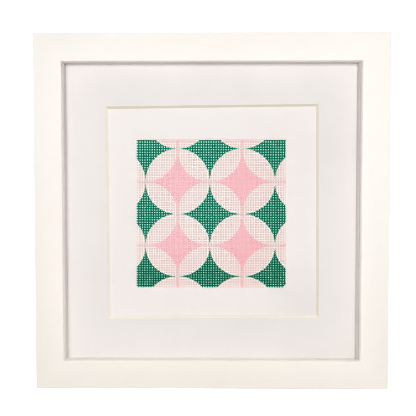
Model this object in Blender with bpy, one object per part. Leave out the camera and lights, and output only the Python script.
"""Needlepoint canvas panel in a square box frame.

Metres, +Z up. The panel stands on its lower edge and faces -Y. The origin is at the middle
of its underside: x = 0 at mid width, y = 0 at mid depth, z = 0 at the lower edge.

Four mitred rails hold, from the front: loose spacer strips, a window mat, and a mount board
that carries the painted canvas and closes the back.
"""

import math

import bmesh
import bpy

# Rails
FRAME_WIDTH = 0.2696
FRAME_HEIGHT = 0.2706
FRAME_DEPTH = 0.0350
FACE_WIDTH = 0.0210  # what a rail shows from the front
LIP_DEPTH = 0.0085  # thickness of the rail's front lip
LIP_OVERLAP = 0.0060  # how far the lip reaches over the contents
ARRIS_EASE = 0.0006  # rounding of the rails' long edges
ARRIS_STEPS = 3
FIT_GAP = 0.0003  # between neighbouring pieces

# Contents, from the front
MAT_SETBACK = 0.0175  # rails' front face to the mat's front face
MAT_THICKNESS = 0.0014
BOARD_THICKNESS = 0.0030
CANVAS_THICKNESS = 0.0012

# Spacer strips: how far each one stands in past the lip's inner edge. They are cut by hand.
STRIP_STANDS_IN = {"left": 0.0003, "right": 0.0011, "top": 0.0, "bottom": -0.0015}

# Window mat: a loose board, a little turned, with a bevelled window cut by hand
MAT_PLAY = 0.0012  # smaller than the rabbet, on each side
MAT_TURN = math.radians(0.4)  # anticlockwise, seen from the front
WINDOW_WIDTH = 0.1646  # at the middle of the mat's thickness, as the height is
WINDOW_HEIGHT = 0.1655
WINDOW_RISE = 0.0008  # the upper edge is this much higher at its right end
WINDOW_SHIFT_X = 0.0006
WINDOW_SHIFT_Z = -0.0007

# Canvas: an even mesh, cut along its threads
THREADS_ACROSS = 60
THREADS_UP = 60
PITCH_ACROSS = 0.001940
PITCH_UP = 0.0019225
CANVAS_SHIFT_X = -0.0006
CANVAS_SHIFT_Z = -0.0018
CANVAS_FLARE = 0.0010  # the lower edge is this much wider than the upper one

# Worked out from the sizes above
FRONT = -FRAME_DEPTH / 2
BODY_WIDTH = FACE_WIDTH - LIP_OVERLAP
MAT_FRONT = FRONT + MAT_SETBACK
BOARD_FRONT = MAT_FRONT + MAT_THICKNESS + FIT_GAP
SIGHT_HALF_WIDTH = FRAME_WIDTH / 2 - FACE_WIDTH
SIGHT_HALF_HEIGHT = FRAME_HEIGHT / 2 - FACE_WIDTH
RABBET_HALF_WIDTH = SIGHT_HALF_WIDTH + LIP_OVERLAP
RABBET_HALF_HEIGHT = SIGHT_HALF_HEIGHT + LIP_OVERLAP
CENTRE_Z = FRAME_HEIGHT / 2

# Each side of the frame: the turn about Y that brings the lower rail there, the middle of
# the side's outer edge, and the side's length
SIDES = {
    "bottom": (0.0, (0.0, 0.0, 0.0), FRAME_WIDTH),
    "left": (math.radians(90), (-FRAME_WIDTH / 2, 0.0, CENTRE_Z), FRAME_HEIGHT),
    "top": (math.radians(180), (0.0, 0.0, FRAME_HEIGHT), FRAME_WIDTH),
    "right": (math.radians(270), (FRAME_WIDTH / 2, 0.0, CENTRE_Z), FRAME_HEIGHT),
}


def clear_scene():
    for leftover in list(bpy.data.objects):
        bpy.data.objects.remove(leftover)


def finish_material(name, colour, roughness):
    """A Principled BSDF. The colour is linear RGB."""
    material = bpy.data.materials.new(name)
    material.use_nodes = True
    shader = material.node_tree.nodes["Principled BSDF"]
    shader.inputs["Base Color"].default_value = (*colour, 1.0)
    shader.inputs["Roughness"].default_value = roughness
    shader.inputs["Metallic"].default_value = 0.0
    return material


def add_object(name, bm, material):
    """Turns the finished bmesh into a named object with its faces pointing out."""
    bmesh.ops.recalc_face_normals(bm, faces=bm.faces)
    mesh = bpy.data.meshes.new(name)
    bm.to_mesh(mesh)
    bm.free()
    mesh.materials.append(material)
    piece = bpy.data.objects.new(name, mesh)
    bpy.context.scene.collection.objects.link(piece)
    return piece


def closed_loft(bm, first, second):
    """Two outlines with the same number of points, joined by quads and closed by end faces."""
    near = [bm.verts.new(point) for point in first]
    far = [bm.verts.new(point) for point in second]
    count = len(near)
    for i in range(count):
        j = (i + 1) % count
        bm.faces.new((near[i], near[j], far[j], far[i]))
    bm.faces.new(near)
    bm.faces.new(reversed(far))
    return near, far


def rail_section():
    """The rail's L section as (across, y): across runs in from the outer edge."""
    lip_back = FRONT + LIP_DEPTH
    return [
        (0.0, FRONT),
        (FACE_WIDTH, FRONT),
        (FACE_WIDTH, lip_back),
        (BODY_WIDTH, lip_back),
        (BODY_WIDTH, -FRONT),
        (0.0, -FRONT),
    ]


def add_rail(side, material):
    """One rail, mitred at 45 degrees and held half a gap back from each mitre plane."""
    turn, place, length = SIDES[side]
    cut_back = FIT_GAP / math.sqrt(2)
    section = rail_section()

    def end_points(way):
        return [(way * (length / 2 - cut_back - across), y, across) for across, y in section]

    bm = bmesh.new()
    left_end, right_end = closed_loft(bm, end_points(-1), end_points(1))
    eased = [0, 1, 5]  # the front edges and the outer back edge
    edges = [bm.edges.get((left_end[i], right_end[i])) for i in eased]
    bmesh.ops.bevel(
        bm, geom=edges, offset=ARRIS_EASE, segments=ARRIS_STEPS, profile=0.5, affect="EDGES"
    )
    rail = add_object("rail_" + side, bm, material)
    rail.location = place
    rail.rotation_euler = (0.0, turn, 0.0)
    return rail


def slab_corners(low, high, y):
    """The corners of an upright rectangle from (x, z) low to high, at depth y."""
    return [(low[0], y, low[1]), (high[0], y, low[1]), (high[0], y, high[1]), (low[0], y, high[1])]


def add_slab(name, low, high, front, thickness, material):
    """An upright flat piece between (x, z) low and high, measured from the frame's centre."""
    bm = bmesh.new()
    closed_loft(bm, slab_corners(low, high, front), slab_corners(low, high, front + thickness))
    slab = add_object(name, bm, material)
    slab.location = (0.0, 0.0, CENTRE_Z)
    return slab


def add_spacer_strips(material):
    """Strips in the rabbet between the lip and the mat. The side ones run the full height."""
    front = FRONT + LIP_DEPTH + FIT_GAP
    thickness = MAT_FRONT - FIT_GAP - front
    outer_x = RABBET_HALF_WIDTH - FIT_GAP
    outer_z = RABBET_HALF_HEIGHT - FIT_GAP
    left_x = -SIGHT_HALF_WIDTH + STRIP_STANDS_IN["left"]
    right_x = SIGHT_HALF_WIDTH - STRIP_STANDS_IN["right"]
    bottom_z = -SIGHT_HALF_HEIGHT + STRIP_STANDS_IN["bottom"]
    top_z = SIGHT_HALF_HEIGHT - STRIP_STANDS_IN["top"]
    boxes = {
        "left": ((-outer_x, -outer_z), (left_x, outer_z)),
        "right": ((right_x, -outer_z), (outer_x, outer_z)),
        "bottom": ((left_x + FIT_GAP, -outer_z), (right_x - FIT_GAP, bottom_z)),
        "top": ((left_x + FIT_GAP, top_z), (right_x - FIT_GAP, outer_z)),
    }
    for side, (low, high) in boxes.items():
        add_slab("spacer_" + side, low, high, front, thickness, material)


def window_corners(grow):
    """The window's (x, z) corners in the mat's own frame, moved out by grow on every side."""
    half_width = WINDOW_WIDTH / 2 + grow
    half_height = WINDOW_HEIGHT / 2 + grow
    left, right = WINDOW_SHIFT_X - half_width, WINDOW_SHIFT_X + half_width
    bottom, top = WINDOW_SHIFT_Z - half_height, WINDOW_SHIFT_Z + half_height
    rise = WINDOW_RISE / 2
    return [(left, bottom), (right, bottom), (right, top + rise), (left, top - rise)]


def add_window_mat(material):
    """One board whose window is bevelled at 45 degrees, so that its cut edge shows."""
    half_width = RABBET_HALF_WIDTH - MAT_PLAY
    half_height = RABBET_HALF_HEIGHT - MAT_PLAY
    outline = [
        (-half_width, -half_height),
        (half_width, -half_height),
        (half_width, half_height),
        (-half_width, half_height),
    ]
    bevel = MAT_THICKNESS / 2
    back = MAT_FRONT + MAT_THICKNESS
    bm = bmesh.new()

    def ring(corners, y):
        return [bm.verts.new((x, y, z)) for x, z in corners]

    rings = [
        ring(outline, MAT_FRONT),
        ring(window_corners(bevel), MAT_FRONT),
        ring(window_corners(-bevel), back),
        ring(outline, back),
    ]
    for this, following in zip(rings, rings[1:] + rings[:1]):
        for i in range(4):
            j = (i + 1) % 4
            bm.faces.new((this[i], this[j], following[j], following[i]))
    mat = add_object("window_mat", bm, material)
    mat.location = (0.0, 0.0, CENTRE_Z)
    mat.rotation_euler = (0.0, -MAT_TURN, 0.0)
    return mat


def add_mount_board(material):
    half_width = RABBET_HALF_WIDTH - FIT_GAP
    half_height = RABBET_HALF_HEIGHT - FIT_GAP
    low, high = (-half_width, -half_height), (half_width, half_height)
    return add_slab("mount_board", low, high, BOARD_FRONT, BOARD_THICKNESS, material)


def add_canvas(material):
    """The flat cloth, held a gap in front of the board. Its lower edge is a little wider."""
    half_width = THREADS_ACROSS * PITCH_ACROSS / 2
    half_height = THREADS_UP * PITCH_UP / 2
    flare = CANVAS_FLARE / 4  # at each corner
    outline = [
        (-half_width - flare, -half_height),
        (half_width + flare, -half_height),
        (half_width - flare, half_height),
        (-half_width + flare, half_height),
    ]
    back = BOARD_FRONT - FIT_GAP
    bm = bmesh.new()
    closed_loft(
        bm,
        [(x, back - CANVAS_THICKNESS, z) for x, z in outline],
        [(x, back, z) for x, z in outline],
    )
    canvas = add_object("canvas", bm, material)
    canvas.location = (CANVAS_SHIFT_X, 0.0, CENTRE_Z + CANVAS_SHIFT_Z)
    return canvas


def main():
    clear_scene()
    rail_paint = finish_material("rail_paint", (0.94, 0.91, 0.86), 0.45)
    spacer_card = finish_material("spacer_card", (0.50, 0.46, 0.44), 0.85)
    mat_paper = finish_material("mat_paper", (0.88, 0.83, 0.80), 0.90)
    board_paper = finish_material("board_paper", (0.90, 0.86, 0.84), 0.90)
    painted_canvas = finish_material("painted_canvas", (0.86, 0.72, 0.68), 0.80)
    for side in SIDES:
        add_rail(side, rail_paint)
    add_spacer_strips(spacer_card)
    add_window_mat(mat_paper)
    add_mount_board(board_paper)
    add_canvas(painted_canvas)


main()
